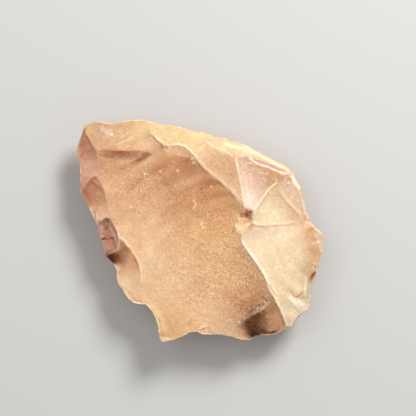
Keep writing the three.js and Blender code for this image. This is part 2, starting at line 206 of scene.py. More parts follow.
def divide(verts, faces, sides, side_of, n):
    """Each triangle split into n * n. The two triangles of a side share its points.

    Returns points, triangles, the one each was part of and where the sides' points start.
    """
    along = (np.arange(1, n) / n)[None, :, None]
    side_points = verts[sides[:, 0], None] * (1 - along) + verts[sides[:, 1], None] * along
    first_side = len(verts)
    first_inner = first_side + len(sides) * (n - 1)
    inner = [(i, j) for i in range(1, n) for j in range(1, n - i)]
    shares = np.array([((n - i - j) / n, i / n, j / n) for i, j in inner])
    inner_points = np.einsum("ks,fsx->fkx", shares, verts[faces])
    grid = np.zeros((len(faces), n + 1, n + 1), int)
    grid[:, 0, 0], grid[:, n, 0], grid[:, 0, n] = faces.T
    for k in range(1, n):
        for side, a, b, i, j in ((0, 0, 1, k, 0), (1, 1, 2, n - k, k), (2, 0, 2, 0, k)):
            forward = faces[:, a] < faces[:, b]
            step = np.where(forward, k - 1, n - 1 - k)
            grid[:, i, j] = first_side + side_of[:, side] * (n - 1) + step
    for k, (i, j) in enumerate(inner):
        grid[:, i, j] = first_inner + np.arange(len(faces)) * len(inner) + k
    small = []
    for i in range(n):
        for j in range(n - i):
            small.append(np.stack([grid[:, i, j], grid[:, i + 1, j], grid[:, i, j + 1]], 1))
            if i + j < n - 1:
                small.append(np.stack([grid[:, i + 1, j], grid[:, i + 1, j + 1], grid[:, i, j + 1]], 1))
    parent = np.tile(np.arange(len(faces)), len(small))
    points = np.concatenate([verts, side_points.reshape(-1, 3), inner_points.reshape(-1, 3)])
    return points, np.concatenate(small), parent, first_side


def chain_links(sides, chosen, first_side, n):
    """The links between neighbouring points along the chosen sides."""
    ids = np.flatnonzero(chosen)
    chain = np.empty((len(ids), n + 1), int)
    chain[:, 0], chain[:, n] = sides[ids].T
    for k in range(1, n):
        chain[:, k] = first_side + ids * (n - 1) + k - 1
    return np.stack([chain[:, :-1].ravel(), chain[:, 1:].ravel()], 1)


def mean_of_linked(values, links):
    """Mean of the linked points' values, for each point."""
    count = np.maximum(np.bincount(links.ravel(), minlength=len(values)), 1)
    ends = np.concatenate([links[:, 0], links[:, 1]])
    others = np.concatenate([links[:, 1], links[:, 0]])
    columns = values.reshape(len(values), -1)
    sums = [np.bincount(ends, c[others], len(values)) for c in columns.T]
    return (np.stack(sums, 1) / count[:, None]).reshape(values.shape)


def relax(points, links, ridge_links, rounds=1, pull=0.5):
    """Evens out the scars and, along themselves, the ridges. Points where ridges meet stay."""
    meeting = np.bincount(ridge_links.ravel(), minlength=len(points))[:, None]
    for _ in range(rounds):
        around = mean_of_linked(points, links)
        along = mean_of_linked(points, ridge_links)
        target = np.where(meeting == 0, around, np.where(meeting == 2, along, points))
        points = points + pull * (target - points)
    return points


def distances(points, targets):
    """Distance from each point to the nearest of the targets."""
    tree = kdtree.KDTree(len(targets))
    for i, p in enumerate(targets):
        tree.insert(p, i)
    tree.balance()
    return np.array([tree.find(p)[2] for p in points])


def scar_at(x, y):
    """Number of the worked face's scar at a place in the drawing."""
    gap = ((face_plan - (x, y)) ** 2).sum(1) + 1e6 * ~upper
    return scar_of_face[gap.argmin()]


# The stone's form: the CAD solid in finer triangles, with even scars and softer ridges.
rough, rough_faces = solid_of(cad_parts["hand_axe"])
sides, side_of, both = sides_of(rough_faces)
flat = unit(spans_of(rough, rough_faces))
centres = rough[rough_faces].mean(axis=1)
upper = flat[:, 2] > 0
face_plan = to_plan(centres)
turn = np.arccos(np.clip(np.einsum("ij,ij->i", flat[both[:, 0]], flat[both[:, 1]]), -1, 1))
is_edge = flat[both[:, 0], 2] * flat[both[:, 1], 2] < 0
hollow = np.einsum("ij,ij->i", flat[both[:, 0]], centres[both[:, 1]] - centres[both[:, 0]]) > 0
ridge, scar_of_face, scar_count = find_ridges(rough, rough_faces, sides, side_of, both, turn, is_edge)
one_scar = np.isin(scar_of_face[both], [scar_at(x, y) for x, y in SOFT_RIDGE]).all(1)
ridge &= is_edge | ~one_scar
crest = ridge & ~hollow

points, faces, parent, first_side = divide(rough, rough_faces, sides, side_of, SPLIT)
links = sides_of(faces)[0]
ridge_links = chain_links(sides, ridge, first_side, SPLIT)
edge_links = chain_links(sides, is_edge, first_side, SPLIT)
crest_links = chain_links(sides, crest, first_side, SPLIT)
points = relax(points, links, ridge_links, EVEN_ROUNDS)
on_floor = points[:, 2] < 1e-6

scar = np.zeros(len(points), int)
scar[faces] = scar_of_face[parent][:, None]
ridge_gap = distances(points, points[np.unique(ridge_links)])
edge_gap = distances(points, points[np.unique(edge_links)])
crest_gap = distances(points, points[np.unique(crest_links)])
normals = normals_of(points, faces)
plan = to_plan(points)
# The worked face is what faces up. Below the edge's plane the least tilt isn't enough.
worked = (points[:, 2] > EDGE_LEVEL - 0.0005) & (normals[:, 2] > 0) | (normals[:, 2] > 0.05)

# Relief too fine for the solid. Heights are in millimetres, outwards, sizes of noise in metres.
SWELL_HEIGHT, SWELL_SIZE = 0.07, 0.0036
GRAIN_SIZE, FINE_GRAIN_SIZE = 0.0008, 0.00045
GRAIN_HEIGHT, MORE_GRAIN_HEIGHT = 0.02, 0.04  # everywhere, and more in GRAIN_PLACES
GRAIN_PLACES = (((32, -38), 62, 1), ((-62, 46), 34, 0.45))  # where, how far and how much
CALM = 0.0015  # within this distance of a ridge, in metres, swell and waves die out
LINE_WANDER = 0.45  # how far a line strays, in drawing units
SPECKS, SPECK_WIDTH, SPECK_HEIGHT = 420, (0.5, 1.1), 0.04  # the width in drawing units
SPECK_STRENGTHS = (1, 0.7, 0.4, -0.6)  # below 0 for a pinhole
CHIPS, CHIP_WIDTH = 150, (0.0005, 0.0014)  # the width in metres
CHIPS_ABOVE = 0.55  # the share of the chips that are on the worked face
UNDER_SHIFT = 0.0005  # how far the underside strays from the solid, in metres
EDGE_SHIFT = 0.0006  # how much the edge wavers in all, in metres

# Waves in two scars: where the blow fell, how far apart, how high, and how far from the blow they
# start and are full.
WAVES = {"great scar": ((55, -94), 17, 0.17, (95, 150)), "butt": ((122, -12), 13, 0.1, (20, 50))}

# Small marks by kind, most in the great scar: where, how wide in drawing units, how high or deep in
# millimetres and, for a ring or an arc, the direction of its raised side in degrees.
MARKS = {
    "ring": [((-53, 54.5), 2.3, 0.12, 140)],
    "arc": [
        ((-7.5, 26.5), 3.2, 0.12, 0), ((3.5, 6), 2.4, 0.13, 215), ((14, -21), 1.6, 0.08, 70),
        ((-6.5, 71), 1.6, 0.05, 100),
    ],
    "dot": [
        ((-39.5, 59.5), 0.9, 0.09), ((-22, 60), 1, 0.09), ((-69, 24), 0.9, 0.09),
        ((11, 44), 1, 0.09), ((-31.5, 0), 0.8, 0.06), ((-15, -27.5), 0.8, 0.06),
        ((39, -90.5), 1, 0.09), ((-24, 45), 0.7, 0.05), ((-58, 40), 0.7, 0.05),
        ((-79, 39), 0.7, 0.05), ((8, 17), 0.7, 0.05), ((-6, 68), 1.1, 0.06),
    ],
    "pit": [
        ((2, 38), 1.2, 0.1), ((4.5, 35), 1, 0.1), ((1, 41.5), 0.9, 0.08), ((-1.5, 33.5), 0.7, 0.06),
        ((57.5, -73.5), 1.3, 0.14), ((53, -79), 1.4, 0.14), ((62, -66), 1.2, 0.1),
        ((66, -69), 1, 0.1), ((-1.5, -64.5), 0.9, 0.06),
    ],
}

# Cracks, slight ridges and worn or stained lines, with painted light and shade: the pale lines on
# crests and along the edge are partly wear and partly painted highlights, and some dark lines in the
# step, the folds, the ripples, the notch and the hollow's foot are painted shade. Half the width in
# drawing units, the height in millimetres, the colour, its share and the points.
LINES = {
    "tip rim": (0.9, -0.05, (198, 132, 88), 0.6, (-112, 105), (-116, 100), (-118, 94)),
    "tip dent": (1, -0.2, (140, 84, 58), 0.7, (-119.5, 74), (-117, 76.5)),
    "tip patch foot": (1, 0.05, (246, 224, 204), 0.25, (-97.5, 94.5), (-94, 92.4), (-90, 92.8)),
    "tip wave": (
        1, 0.07, (250, 218, 178), 0.55, (-87, 86), (-82, 86.5), (-76, 89), (-70, 92), (-66, 93),
    ),
    "tip arc": (0.8, 0.05, (244, 210, 174), 0.25, (-83, 102), (-79, 99), (-78, 94), (-81, 90)),
    "tip second arc": (0.8, 0.04, (244, 208, 168), 0.2, (-77, 103.4), (-73, 99.6), (-72, 94)),
    "tip low wave": (1.1, 0.06, (244, 206, 164), 0.4, (-84, 82.5), (-76, 83.5), (-69, 86)),
    "tip high wave": (1.2, 0.05, (246, 214, 170), 0.3, (-79, 93), (-73, 97), (-69, 101)),
    # The step line and the fold's dark lines are painted shade under the step and in the fold; the
    # fold's crest is a painted highlight.
    "step line": (
        1, -0.12, (160, 76, 44), 0.9, (-100, 80.7), (-92, 80.4), (-82, 79.8), (-70, 79.5), (-60, 79),
        (-50, 79),
    ),
    "first fold": (
        1.9, -0.16, (146, 70, 42), 0.9, (-47, 78.5), (-51, 76), (-56, 73.2), (-61, 70.8), (-66, 68.4),
    ),
    "fold tail": (2, -0.08, (168, 100, 68), 0.45, (-60, 71), (-66, 68), (-73, 64.6), (-82, 60.4)),
    "fold crest": (1.8, 0.1, (250, 208, 176), 0.3, (-47, 74.5), (-53, 69), (-58, 65), (-64, 63)),
    # Painted shade in the troughs of the great scar's folds and ripples, and painted light on one of
    # their crests, over their relief.
    "second fold": (
        2.4, -0.12, (170, 106, 74), 0.35, (-1, 72), (-10, 69.4), (-20, 67), (-30, 65), (-42, 61),
        (-54, 54), (-64, 47), (-72, 39),
    ),
    "ripple two": (
        1.5, -0.06, (182, 120, 84), 0.25, (-23, 58), (-34, 53), (-44, 47), (-52, 41), (-59, 33),
    ),
    "ripple light": (
        4.2, 0.08, (228, 182, 138), 0.35, (4, 53.4), (-9, 49), (-20, 41), (-31, 33), (-43, 23),
        (-53, 11),
    ),
    "ripple three": (
        3, -0.1, (170, 108, 72), 0.35, (21, 47), (8, 44), (-4, 37), (-14, 32), (-24, 26), (-32, 21),
        (-42, 13),
    ),
    # Painted shade under the left arc's rim and in its furrow.
    "arc brow": (
        1, -0.08, (150, 84, 58), 0.75, (-115.4, 39), (-113.4, 44.4), (-110.4, 49.2), (-107, 52.4),
        (-104, 53.8), (-101.4, 52.8),
    ),
    "arc second brow": (0.9, -0.05, (160, 92, 66), 0.6, (-112, 44), (-109, 47.6), (-106, 49.2)),
    "arc streak": (1, 0.07, (220, 170, 140), 0.7, (-106, 51), (-101, 47), (-97, 43)),
    "arc furrow": (1.4, -0.08, (156, 94, 68), 0.6, (-109, 49), (-104, 45), (-99, 40)),
    "side shade": (1.6, -0.04, (168, 106, 74), 0.5, (-114, 97), (-111, 90), (-108, 83)),
    "side seam": (1.1, -0.05, (196, 130, 92), 0.5, (-100, 78), (-99, 69), (-98.2, 61), (-99, 53)),
    "band mouth": (0.9, -0.05, (232, 160, 108), 0.6, (-47.5, 99), (-47.5, 94)),
    "band cut": (
        0.9, -0.16, (190, 92, 52), 0.85, (-47.6, 95), (-45.4, 91.6), (-42.6, 88.8), (-39.2, 86),
        (-37.6, 83), (-36, 79.6),
    ),
    # A painted highlight on the band's lip.
    "band lip": (
        0.9, 0.2, (255, 248, 228), 0.8, (-46.5, 95.6), (-44, 93.2), (-41.2, 91), (-38, 88.8),
        (-35, 87.4),
    ),
    "curl": (
        0.9, 0.14, (252, 228, 200), 0.8, (-35, 86.4), (-32.4, 85.8), (-30.4, 83.6), (-30, 80.6),
        (-31.4, 78.8), (-33.4, 79.8),
    ),
    "curl eye": (1, -0.03, (168, 96, 60), 0.8, (-34.8, 84.6), (-32.6, 82.2)),
    # A painted highlight on the band's foot, partly wear.
    "band foot": (
        1, 0.1, (255, 248, 232), 0.7, (-28.6, 85.6), (-25, 86.2), (-21, 86.1), (-15.6, 85), (-12, 82),
        (-8.6, 78.6), (-5, 75), (-2, 71.6),
    ),
    "crest light": (
        1.3, 0.08, (250, 220, 196), 0.4, (-2, 71), (1.5, 66.5), (6, 62.5), (11, 58), (17, 53.5),
        (23, 48), (30, 42), (36, 36), (42, 29),
    ),
    "crest shade": (
        1.5, -0.05, (150, 86, 52), 0.5, (-4, 70), (2, 63.5), (9, 56.5), (16, 52), (22, 46), (29, 39.5),
        (36, 31),
    ),
    "lens foot": (1.2, 0.05, (238, 196, 156), 0.4, (-28, 77.5), (-20, 75.2), (-12, 73.8), (-5, 71.5)),
    # Painted highlights, partly wear, on the band's edge and the wedge's ridge.
    "band edge": (
        1.1, 0.08, (255, 250, 214), 0.4, (6, 90.5), (10.5, 86), (16, 83), (22, 81), (28, 77.5),
        (33, 73.5),
    ),
    "wedge ridge": (
        0.8, 0.08, (255, 240, 224), 0.5, (35, 74), (36.2, 68), (38.4, 61), (40, 54), (41, 47), (42, 40),
        (43.2, 32), (44.5, 26),
    ),
    # Painted shade under the strip's foot.
    "petal brow": (
        2.2, -0.1, (206, 142, 102), 0.6, (48, 72), (53, 67.5), (59, 62.5), (68, 59.5), (77, 56.7),
        (85, 55.4), (90, 55.2),
    ),
    # A painted highlight on the strip's foot.
    "strip foot": (
        0.9, 0.1, (255, 247, 232), 0.75, (48, 74.2), (53, 69.7), (57, 66.7), (62, 65), (67, 64.1),
        (71, 61.8), (78, 59.2), (85, 57.5), (90, 57.4),
    ),
    "strip wave": (0.8, 0.05, (250, 226, 204), 0.3, (68, 68.4), (74, 66), (80, 63), (84, 60.6)),
    # Painted highlights along the upper and right edge.
    "upper rim": (
        1.5, 0, (255, 247, 204), 0.6, (22, 87.4), (34, 84.4), (44, 82.2), (54, 79), (66, 72),
        (77, 66.6), (86.6, 61.2), (91, 57.2),
    ),
    "corner rim": (1.5, 0.05, (255, 250, 226), 0.95, (91, 57.2), (94.6, 49.4), (98.8, 44), (99.4, 40)),
    "right rim": (0.8, 0, (255, 236, 214), 0.6, (101.4, 33), (104, 23), (107.6, 11)),
    "petal curl": (0.8, 0.08, (254, 234, 216), 0.45, (58, 59), (62, 57), (66.5, 56.4), (68.5, 59)),
    "petal dash": (0.9, 0.06, (254, 236, 218), 0.35, (71, 52.5), (75, 50.8), (78, 50)),
    "petal arc": (0.8, 0.07, (246, 214, 196), 0.4, (39, 60), (43, 65), (48, 67.6), (54, 66.4)),
    "petal low arc": (0.8, 0.06, (242, 208, 190), 0.35, (41, 53), (45, 59), (51, 62), (58, 60.4)),
    "petal streak": (1.1, 0.08, (254, 232, 214), 0.4, (46, 57), (46, 49), (47, 40), (49, 31)),
    "petal second streak": (0.9, 0.05, (252, 228, 208), 0.25, (50.6, 55), (50.4, 45), (52, 31)),
    "petal third streak": (0.9, 0.05, (252, 226, 208), 0.35, (42.6, 59), (43.4, 49), (45, 37)),
    "petal shade": (0.9, -0.04, (206, 162, 140), 0.35, (48, 59), (48.4, 49), (49.6, 39)),
    # A painted highlight on the shelf's ridge, partly wear.
    "shelf ridge": (
        0.85, 0.1, (255, 246, 230), 0.65, (77.5, 49), (72.5, 45.5), (68, 41.3), (64, 36), (60, 30.3),
        (56, 24.3), (53.2, 20),
    ),
    "shelf seam": (
        1.1, -0.06, (206, 144, 96), 0.65, (79, 47), (73.5, 43.5), (69.6, 39.5), (65.6, 34),
        (61.6, 28.3), (57, 21.5),
    ),
    # A painted highlight on the side's ridge.
    "side ridge": (
        1.2, 0.08, (250, 226, 208), 0.4, (81.4, 38.5), (85, 33.6), (89.4, 29), (94, 24), (98.4, 19.4),
        (102, 15),
    ),
    "side seam right": (
        1, -0.08, (200, 138, 92), 0.75, (79.6, 37), (82.4, 31.6), (86, 27.4), (90, 22.6), (95, 17.6),
        (99.5, 13),
    ),
    "side glint": (0.9, 0.08, (255, 244, 226), 0.7, (88, 48.5), (88.4, 46.5)),
    "side spot": (0.8, -0.05, (222, 142, 96), 0.5, (89.6, 50.8), (90.4, 49.6)),
    "shelf foot light": (
        0.9, 0.05, (255, 246, 222), 0.35, (54, 8.5), (62, 6.6), (70, 7.4), (80, 7.4), (87, 7.8),
        (94, 9.5),
    ),
    "shelf foot": (
        0.9, -0.1, (196, 128, 80), 0.85, (47.5, 3), (49.5, 5.4), (52, 6), (56, 4.7), (64, 4.2),
        (72, 5.1), (82, 5.2), (89, 6), (96, 7.4),
    ),
    "shelf second foot": (0.7, -0.04, (226, 170, 120), 0.5, (66, 2.8), (72, 3.4), (78, 3.6)),
    "pit core": (1.2, -0.14, (112, 46, 22), 0.85, (51.4, 19.8), (48.4, 18.2)),
    "pit second core": (1.1, -0.12, (108, 42, 20), 0.95, (46.4, 17.8), (45.8, 15)),
    "pit rim": (0.9, 0.1, (255, 230, 198), 0.85, (43.8, 23.4), (43.9, 20), (42.4, 16.8)),
    "pit tail": (1.1, -0.12, (118, 58, 34), 0.9, (40.8, 15.6), (41, 13.6)),
    "knob brow": (0.9, 0.06, (255, 230, 190), 0.6, (51, 10.5), (49, 8), (46, 4.5), (43.5, 1)),
    "knob tip": (1.4, 0.1, (254, 226, 190), 0.55, (36.5, 3), (38.5, 0), (41.5, -1.5)),
    "knob spot": (0.9, -0.06, (236, 168, 92), 0.6, (41, 7), (43.5, 6)),
    "knob rim": (
        0.9, 0.12, (255, 238, 208), 0.7, (36.8, 8.4), (35.6, 4.4), (35.8, 0.4), (38.4, -2.2),
        (41.6, -2),
    ),
    "shelf edge": (0.9, 0.08, (255, 246, 224), 0.7, (50.8, 12.6), (52.8, 9.4), (56, 6.4), (60, 6)),
    "shelf edge shade": (1.1, -0.06, (184, 122, 78), 0.7, (48.8, 13.4), (49.8, 9.6), (50.8, 5.8)),
    "under shelf": (1.1, 0.05, (255, 240, 224), 0.6, (104.5, 9), (107.5, 8.2)),
    # A painted highlight on the butt's crest, partly wear.
    "butt crest": (
        1.4, 0.12, (255, 252, 238), 0.9, (41.3, -8), (43, -12.5), (46.3, -17), (49.5, -21.5),
        (53.4, -27), (57.4, -33), (61.4, -39), (64.4, -44.6), (67.4, -50), (69.6, -54),
    ),
    "butt crest shade": (
        0.9, -0.05, (190, 122, 80), 0.2, (41.6, -12), (45, -18), (50, -25), (55.4, -32.5), (60, -40),
        (64.6, -49),
    ),
    # Painted highlights on the lower crests, partly wear, with a crack between them.
    "double crest": (
        0.9, 0.1, (255, 246, 226), 0.8, (66, -52), (68, -57), (71, -62), (75, -66.3), (78, -67.8),
    ),
    "crest crack": (0.7, -0.12, (208, 138, 92), 0.7, (68.6, -53), (71, -58), (74.6, -63), (77, -66)),
    "inner crest": (1.1, 0.05, (255, 248, 230), 0.6, (70.6, -54.4), (74.4, -59.6), (78.4, -65)),
    "tail crest": (
        0.9, 0.1, (255, 246, 226), 0.75, (74, -68.4), (77.8, -71.8), (80.2, -76.2), (82.2, -81),
        (84.4, -86.6), (86.2, -91.6), (87.4, -95.4),
    ),
    "tail shade": (0.9, -0.05, (174, 108, 70), 0.6, (75.4, -72.6), (79, -80), (82, -88), (85, -95.4)),
    "butt band": (3, 0.08, (246, 222, 190), 0.25, (86, -9.5), (94, -2), (103, 3), (111, 5)),
    "butt fold": (
        1.7, -0.1, (200, 140, 92), 0.8, (104.6, -2), (108.6, -5.6), (112.6, -8.8), (115.6, -12.4),
    ),
    "rim cut": (1.6, -0.1, (178, 106, 58), 0.9, (108, 1), (111, 2), (114.4, 3.4)),
    # A painted highlight on the rim of the edge.
    "rim edge": (0.8, 0, (255, 246, 222), 0.7, (109, 9.4), (113, 4.6), (117, 0.8), (121, -2.8)),
    "rim red": (0.8, -0.05, (214, 138, 110), 0.7, (118.4, -5.6), (118.8, -8.4)),
    "rim second flecks": (0.9, 0.08, (255, 240, 220), 0.8, (116.8, -10), (120.2, -12.4)),
    "rim lower flecks": (
        0.8, 0.08, (255, 244, 226), 0.35, (117.4, -10), (119.5, -13), (121, -17), (120.6, -22),
    ),
    "butt chip": (1.6, -0.1, (52, 18, 4), 1, (115.6, -41), (113.8, -43.8), (111.6, -46.4)),
    # A painted highlight on the chip's rim.
    "chip rim": (1, 0, (255, 240, 216), 0.85, (116.8, -37), (117.4, -41), (116, -45.4), (113.2, -49.8)),
    "butt chip lip": (1.1, 0.1, (250, 214, 180), 0.6, (110.6, -50.4), (113, -49.4)),
    "rust flecks": (1, -0.05, (200, 108, 66), 0.9, (112.6, -33.4), (115.6, -36.6)),
    "chip rust": (1, -0.05, (206, 112, 70), 0.8, (109, -51.6), (111.4, -50.8)),
    "butt rib": (
        0.9, 0.14, (252, 244, 216), 0.75, (105, -44), (105.6, -51), (104.6, -57), (105.4, -66),
    ),
    "hinge": (
        0.8, -0.15, (202, 122, 76), 0.85, (90, -57.6), (92, -63), (95, -66), (97.4, -66), (100, -63.4),
        (104, -60.4),
    ),
    "hinge eye": (1, -0.1, (178, 80, 44), 0.8, (96.4, -66.2), (98, -66)),
    "hinge tail": (0.8, -0.1, (210, 142, 102), 0.7, (101, -67.6), (104, -67.6)),
    "butt foot line": (
        1, -0.08, (222, 172, 124), 0.6, (88.2, -67.6), (91, -73), (95, -78.4), (97.6, -81.6),
    ),
    "butt cream": (
        2.2, 0.06, (244, 244, 220), 0.75, (88.6, -63), (91.4, -68), (94.6, -72.6), (97.4, -76.6),
    ),
    "butt cream right": (2.8, 0.04, (242, 236, 212), 0.6, (98.6, -69.6), (103, -72), (104.6, -76)),
    # A painted highlight on the hollow's lip.
    "hollow lip": (
        1.1, 0.14, (240, 198, 164), 0.65, (43.5, -89), (49, -85), (55.5, -81.4), (62, -78), (66, -73.6),
        (68.4, -69.6),
    ),
    "lip crack one": (0.9, -0.12, (88, 42, 20), 0.95, (58.2, -75.2), (59.6, -72.6)),
    "lip crack two": (0.9, -0.12, (92, 46, 24), 0.9, (54.8, -76.4), (56.4, -73.8)),
    "lip crack three": (0.8, -0.1, (104, 56, 32), 0.85, (51.4, -80), (52.8, -77.4)),
    "lip crack four": (0.8, -0.1, (104, 54, 30), 0.85, (61.8, -74.4), (62.6, -71.4)),
    "lip crack five": (0.9, -0.1, (122, 68, 42), 0.8, (64.2, -67), (66.4, -69.4)),
    "lip crack six": (0.8, -0.1, (140, 84, 56), 0.7, (67.8, -66.4), (69.6, -69.6)),
    "lip fleck one": (0.8, 0.1, (248, 208, 174), 0.7, (53, -81), (54.6, -78.6)),
    "lip fleck two": (0.8, 0.1, (248, 208, 174), 0.8, (56, -77.8), (58, -76.4)),
    "lip fleck three": (0.8, 0.1, (250, 212, 180), 0.8, (60.4, -77.8), (64.4, -76.2)),
    "lip fleck four": (0.8, 0.08, (246, 204, 170), 0.7, (63, -69.8), (65.4, -71.6)),
    # Painted shadow where the hollow's foot falls away at the edge.
    "foot cut": (
        1.5, -0.1, (30, 10, 0), 1, (57.6, -100.4), (62, -100), (66, -101.4), (70.5, -102), (75, -100.8),
        (79, -98.2),
    ),
    "foot glint": (0.8, 0.06, (222, 172, 130), 0.6, (66, -99.4), (71, -99.2), (75, -98)),
    "foot rim": (0.9, 0, (236, 190, 158), 0.5, (26, -104.4), (34, -106.6), (42, -108.6), (48, -109)),
    "foot cut lip": (0.9, 0.12, (226, 182, 140), 0.7, (64.6, -104.2), (72, -104.4), (77.6, -102.8)),
    "arc rim": (1.5, -0.05, (176, 108, 76), 0.35, (-115, 38), (-112, 30), (-109, 24)),
    "chip one": (1, 0.15, (255, 240, 226), 0.85, (-109, 22.4), (-108, 18), (-105.6, 14.6)),
    "chip cut": (0.8, -0.12, (176, 114, 82), 0.6, (-107, 20.4), (-104.8, 16.6)),
    "chip two": (
        1.1, 0.14, (255, 242, 228), 0.8, (-104.6, 19.2), (-103, 15), (-102.8, 10), (-102.6, 5),
    ),
    "fork seam": (1, -0.06, (204, 140, 94), 0.5, (-91, 18), (-87.4, 12), (-83.2, 4.6)),
    "nick brow": (
        0.9, 0.08, (240, 198, 168), 0.6, (-97, 11.6), (-93.4, 14.2), (-90, 12.2), (-86, 7.2),
        (-82, 1.6),
    ),
    "nick top": (1.9, -0.12, (98, 42, 26), 0.9, (-95, 10.8), (-93, 12), (-90.6, 9.6)),
    "nick zigzag": (
        1.1, -0.1, (92, 38, 26), 0.98, (-94.4, 10), (-95.6, 6.6), (-93.2, 4.6), (-94, 2), (-97.4, 0.6),
    ),
    "nick glint": (0.9, 0.1, (244, 196, 172), 0.85, (-94.6, 8), (-94.2, 5)),
    "nick left glint": (1.4, 0.08, (238, 192, 170), 0.85, (-99.4, 2.6), (-97, 4)),
    "nick bar": (
        1, -0.1, (96, 46, 34), 0.9, (-99.4, -8.6), (-96, -7.4), (-92, -8.4), (-88, -7.2), (-83.4, -7.8),
    ),
    "nick stem": (0.8, -0.08, (158, 102, 80), 0.5, (-92.4, -9), (-92.4, -14.6)),
    "nick bar glint": (0.9, 0.08, (238, 200, 168), 0.6, (-98.8, -6), (-96.6, -4.6)),
    "nick inner light": (
        0.9, 0.12, (248, 208, 184), 0.8, (-90, 5), (-88, 1), (-85.8, -4), (-84, -9), (-82.4, -15),
        (-82, -20),
    ),
    "nick ochre": (1.1, -0.06, (178, 116, 74), 0.5, (-88, 7.4), (-84.8, 1), (-82.8, -5), (-81.8, -11)),
    "nick outer light": (
        1, 0.1, (254, 232, 204), 0.7, (-82.2, 2), (-80.6, -5), (-80.8, -12), (-81, -18.6),
    ),
    "nick low spot": (1, -0.06, (164, 106, 80), 0.5, (-96.6, -14.4), (-95, -16)),
    "nick foot light": (
        1, 0.1, (246, 216, 194), 0.6, (-94.6, -21), (-91, -22.4), (-87, -21), (-82, -19.4),
    ),
    # Painted shadow in the notch's core.
    "notch core": (2.4, -0.08, (64, 22, 8), 0.9, (-93, -24.6), (-89.6, -27.4), (-85.6, -31)),
    "notch rim": (0.8, 0.03, (196, 130, 90), 0.5, (-94.6, -24.8), (-92, -27.8)),
    "notch chip": (1.1, 0.1, (244, 206, 174), 0.6, (-85, -32.6), (-83, -37), (-81.4, -41)),
    "crescent light": (
        1, 0.08, (255, 238, 210), 0.75, (-80.2, -5.4), (-75, -9.8), (-70, -15.8), (-65, -23.6),
        (-61, -31.6), (-58.8, -39), (-58.4, -46), (-58.8, -53),
    ),
    "crescent seam": (
        1.2, -0.05, (192, 132, 96), 0.5, (-79, -9), (-73, -14.4), (-67, -22.4), (-62.2, -31),
        (-60.4, -39), (-60.2, -49),
    ),
    "foot crack": (0.8, -0.14, (150, 92, 60), 0.7, (0, -99.2), (4, -96.6), (10, -96)),
    "foot crack lip": (0.8, 0.08, (252, 222, 186), 0.6, (-2, -97.6), (4, -95.2), (10, -94.8)),
    "foot strip": (
        2.6, 0.08, (242, 212, 158), 0.5, (-50, -72), (-44, -80.5), (-38, -92), (-33.4, -103),
    ),
    "foot strip shade": (
        1.4, -0.08, (206, 152, 104), 0.45, (-42.4, -72), (-35.4, -83), (-29.4, -95), (-25.4, -105),
    ),
    "corner chip": (1.1, -0.1, (255, 240, 214), 0.7, (-38, -107.6), (-34, -106.4), (-29, -107.4)),
    "corner cut": (0.9, -0.1, (190, 124, 84), 0.6, (-39.6, -102.6), (-36.6, -104.4)),
    # A painted highlight along the rim of the left edge.
    "left rim": (
        1, 0, (255, 238, 208), 0.7, (-82.6, -35), (-82.2, -44), (-77.6, -52), (-73.4, -60.6),
        (-67.4, -69.4), (-59.4, -73), (-52.6, -73.8), (-48, -80.6), (-42.4, -91.8), (-40, -102),
    ),
    "blade shade": (1.5, -0.06, (204, 146, 104), 0.5, (-73.2, -60), (-70, -65), (-66.6, -68.4)),
    "crescent foot": (1.3, 0.06, (250, 220, 184), 0.4, (-74.4, -56), (-69, -60.6), (-64, -61.6)),
    "red streak": (0.8, -0.04, (206, 106, 74), 0.7, (-12.4, -95.4), (-10, -92), (-7.6, -88.6)),
}


def line_gap(where, line):
    """Distance in the plan from each place to a line and from there to its end, and its length."""
    line = np.array(line, float)
    gap, along, start = np.full(len(where), 1e9), np.zeros(len(where)), 0
    for p, q in zip(line[:-1], line[1:]):
        way = q - p
        length = np.linalg.norm(way)
        t = np.clip((where - p) @ way / length**2, 0, 1)
        off = np.linalg.norm(where - p - t[:, None] * way, axis=1)
        along = np.where(off < gap, start + t * length, along)
        gap = np.minimum(gap, off)
        start += length
    return gap, np.minimum(along, start - along), start


away = smoothstep(0, CALM, ridge_gap)
relief = SWELL_HEIGHT * noise(points, SWELL_SIZE, 1) * away
grainy = worked * sum(
    much * np.exp(-((plan - at) ** 2).sum(1) / far**2) for at, far, much in GRAIN_PLACES
)
in_great_scar = scar == scar_at(0, 0)
grainy *= np.where(in_great_scar, 1, 0.3)
grain = noise(points, GRAIN_SIZE, 2) + 0.8 * noise(points, FINE_GRAIN_SIZE, 3)
relief += grain * (GRAIN_HEIGHT + MORE_GRAIN_HEIGHT * grainy)

# A scar's waves run out from where it was struck: its place farthest from the drawing's middle,
# unless WAVES has it. Small scars have none.
named = {scar_at(-20, 0): WAVES["great scar"], scar_at(80, -20): WAVES["butt"]}
for number in range(scar_count):
    mine = np.flatnonzero(scar == number)
    reach = np.ptp(plan[mine], axis=0).max()
    if number in named:
        struck, length, height, (start, full) = named[number]
    elif reach < 22:
        continue
    else:
        struck = plan[mine[np.linalg.norm(plan[mine], axis=1).argmax()]]
        length, height, (start, full) = reach * 0.17, 0.0006 * reach, (0.15 * reach, 0.4 * reach)
    out = np.linalg.norm(plan[mine] - struck, axis=1)
    wobble = 0.3 * noise(points[mine], 0.012, 20 + number)
    wave = np.sin(2 * np.pi * (out / length + wobble))
    relief[mine] += height * wave * smoothstep(start, full, out) * away[mine]

